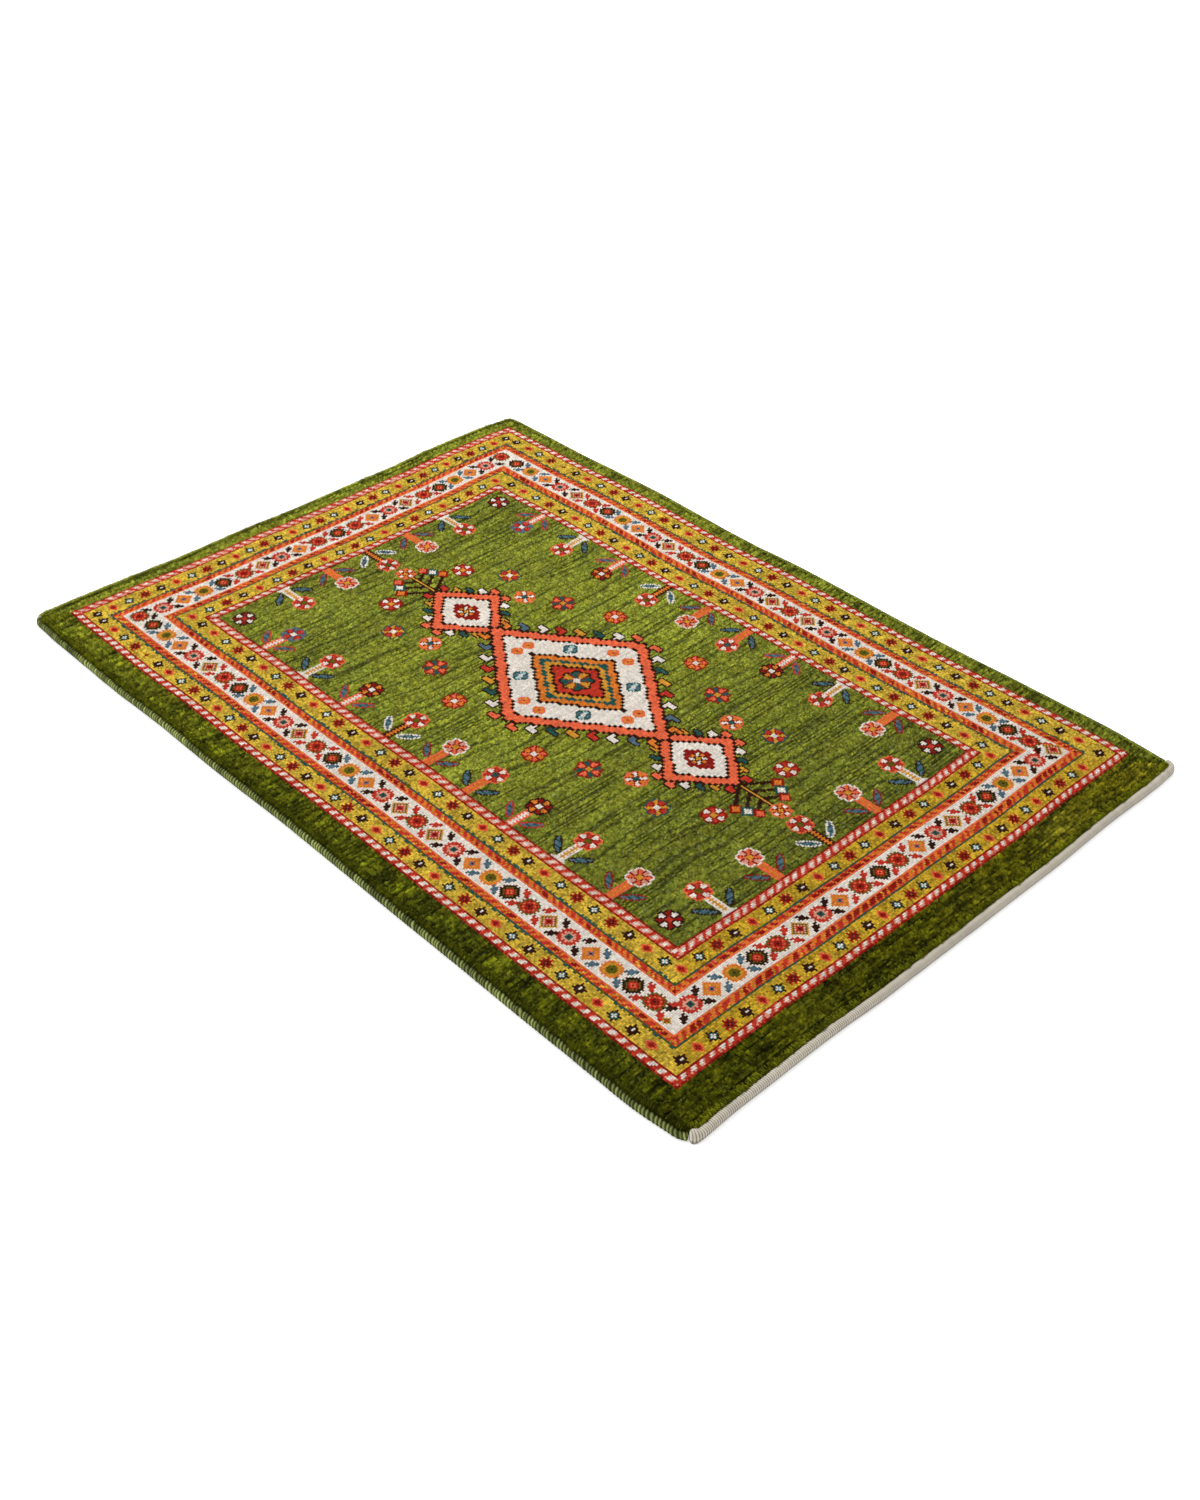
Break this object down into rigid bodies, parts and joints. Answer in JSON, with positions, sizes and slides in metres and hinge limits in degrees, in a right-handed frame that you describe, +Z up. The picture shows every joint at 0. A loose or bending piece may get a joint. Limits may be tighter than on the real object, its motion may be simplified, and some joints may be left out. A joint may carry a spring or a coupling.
{
  "type": "gabbeh rug",
  "caption": "Small hand-knotted wool rug with a thick green pile, striped floral borders, overcast side cords and cotton end bindings.",
  "frame": {"origin": "on the floor under the middle of the rug", "axes": "+X across the rug from its left to its right side, +Y along the rug from its near to its far end, +Z up out of the pile"},
  "size_m": [0.8546, 1.2024, 0.0127],
  "materials": {
    "pile_wool": "soft cut wool pile, matt with a slight sheen",
    "selvedge_wool": "overcast wool yarn, matt",
    "binding_cotton": "finely ribbed off-white cotton cord, matt"
  },
  "bodies": {
    "root": {"pile_body": "pile_wool", "selvedge_left": "selvedge_wool", "selvedge_right": "selvedge_wool", "end_binding_near": "binding_cotton", "end_binding_far": "binding_cotton"}
  },
  "joints": []
}
